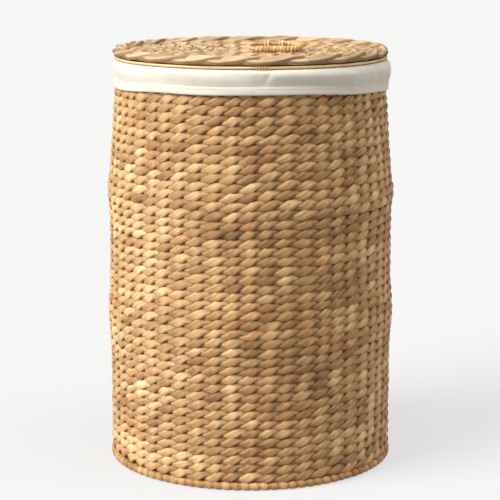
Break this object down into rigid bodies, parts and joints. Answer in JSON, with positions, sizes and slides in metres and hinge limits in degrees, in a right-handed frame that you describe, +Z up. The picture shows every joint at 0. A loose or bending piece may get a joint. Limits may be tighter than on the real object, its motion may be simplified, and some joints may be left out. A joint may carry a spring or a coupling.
{
  "type": "woven laundry basket",
  "caption": "Round woven cane laundry basket with a lift-out cotton liner folded over the rim and a lift-off flat woven lid with a small hinged loop handle.",
  "frame": {"origin": "centre of the foot, on the floor", "axes": "+Z up; -Y towards the front, from which the handle lies to the right of the lid's centre, on the +X side"},
  "size_m": [0.4062, 0.4054, 0.5955],
  "materials": {
    "woven_cane": "dull natural cane, uneven light tan",
    "lid_cane": "dull natural cane, light tan",
    "border_cane": "dull natural cane, darker",
    "handle_cane": "wrapped cane, slightly polished by use",
    "cotton_cloth": "plain off-white cotton",
    "steel_wire": "brown paint"
  },
  "bodies": {
    "basket": {"wire_cage": "steel_wire", "wall_weave_outer_lower": "woven_cane", "wall_weave_outer_middle": "woven_cane", "wall_weave_outer_upper": "woven_cane", "wall_weave_inner_lower": "woven_cane", "wall_weave_inner_middle": "woven_cane", "wall_weave_inner_upper": "woven_cane", "foot_border": "border_cane", "rim_border": "border_cane", "base_spokes": "steel_wire", "base_weave": "woven_cane"},
    "liner": {"liner_base": "cotton_cloth", "liner_wall": "cotton_cloth", "liner_cuff": "cotton_cloth", "liner_hem": "cotton_cloth"},
    "lid": {"lid_frame": "lid_cane", "lid_edge_rope": "lid_cane", "lid_course_01": "lid_cane", "lid_course_02": "lid_cane", "lid_course_03": "lid_cane", "lid_course_04": "lid_cane", "lid_course_05": "lid_cane", "lid_course_06": "lid_cane", "lid_course_07": "lid_cane", "lid_course_08": "lid_cane", "lid_course_09": "lid_cane", "lid_course_10": "lid_cane", "lid_course_11": "lid_cane", "lid_course_12": "lid_cane", "lid_centre": "lid_cane", "handle_tie_left": "handle_cane", "handle_tie_right": "handle_cane"},
    "handle": {"handle_core": "handle_cane", "handle_wrap": "handle_cane"}
  },
  "joints": [
    {"name": "liner_lift", "type": "slide", "parent": "basket", "child": "liner", "axis": [0, 0, 1], "range_m": [0, 0.56]},
    {"name": "lid_lift", "type": "slide", "parent": "liner", "child": "lid", "axis": [0, 0, 1], "range_m": [0, 0.35]},
    {"name": "handle_turn", "type": "hinge", "parent": "lid", "child": "handle", "pos_m": [0.033, -0.0187, 0.5902], "axis": [-1, 0, 0], "range_deg": [0, 100]}
  ]
}
